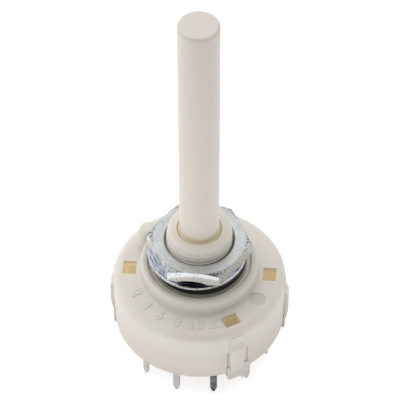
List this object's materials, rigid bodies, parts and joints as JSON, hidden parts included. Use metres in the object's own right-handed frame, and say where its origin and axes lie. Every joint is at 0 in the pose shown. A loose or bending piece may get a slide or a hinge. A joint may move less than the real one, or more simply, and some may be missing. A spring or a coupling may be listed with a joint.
{
  "type": "rotary switch",
  "caption": "Rotary switch with a round plastic body, threaded bush with nut and washers, long plain spindle and a circle of flat pins below.",
  "frame": {"origin": "on the spindle axis, in the plane of the mounting face (top of the lip round the washer recess)", "axes": "+Z along the spindle axis towards its knob end; terminal_08 lies near -Y at the front, and the locating peg at the back on the -X side"},
  "size_m": [0.0276, 0.0264, 0.0683],
  "materials": {
    "ivory_cover": "off-white moulded polyester, satin, slightly translucent",
    "ivory_base": "off-white moulded polyester, a little pinker than the cover",
    "ivory_spindle": "off-white moulded shaft, satin with a faint mould flow",
    "zinc_nut": "dull clear zinc plating, slightly mottled",
    "bright_washer": "bright rolled steel washer with fine marks on its rim",
    "zinc_washer": "grey zinc-plated steel",
    "black_rubber": "black rubber, satin",
    "tinned_brass": "dull tin plating on brass strip",
    "contact_brass": "spring bronze strip",
    "spring_steel": "drawn spring wire",
    "ball_steel": "polished steel ball"
  },
  "bodies": {
    "body": {"cover": "ivory_cover", "base": "ivory_base", "common_terminal": "tinned_brass", "terminal_01": "tinned_brass", "terminal_02": "tinned_brass", "terminal_03": "tinned_brass", "terminal_04": "tinned_brass", "terminal_05": "tinned_brass", "terminal_06": "tinned_brass", "terminal_07": "tinned_brass", "terminal_08": "tinned_brass", "terminal_09": "tinned_brass", "terminal_10": "tinned_brass", "terminal_11": "tinned_brass", "terminal_12": "tinned_brass", "stop_washer": "zinc_washer", "sealing_ring": "black_rubber", "plain_washer": "bright_washer", "hex_nut": "zinc_nut"},
    "rotor": {"spindle": "ivory_spindle", "detent_spring": "spring_steel", "contact_spring": "spring_steel"},
    "ball_a": {"detent_ball_a": "ball_steel"},
    "ball_b": {"detent_ball_b": "ball_steel"},
    "bridge": {"contact_bridge": "contact_brass"}
  },
  "joints": [
    {"name": "spindle_turn", "type": "hinge", "parent": "body", "child": "rotor", "pos_m": [0, 0, 0], "axis": [0, 0, -1], "range_deg": [0, 330]},
    {"name": "ball_a_slide", "type": "slide", "parent": "rotor", "child": "ball_a", "axis": [-0.7547, -0.6561, 0], "range_m": [0, 0.00047], "stiffness_N_per_m": 300, "springref_m": 0.0015},
    {"name": "ball_b_slide", "type": "slide", "parent": "rotor", "child": "ball_b", "axis": [0.7547, 0.6561, 0], "range_m": [0, 0.00047], "stiffness_N_per_m": 300, "springref_m": 0.0015},
    {"name": "bridge_lift", "type": "slide", "parent": "rotor", "child": "bridge", "axis": [0, 0, 1], "range_m": [0, 0.0003], "stiffness_N_per_m": 200, "springref_m": -0.001, "deforming": ["contact_spring"]}
  ]
}
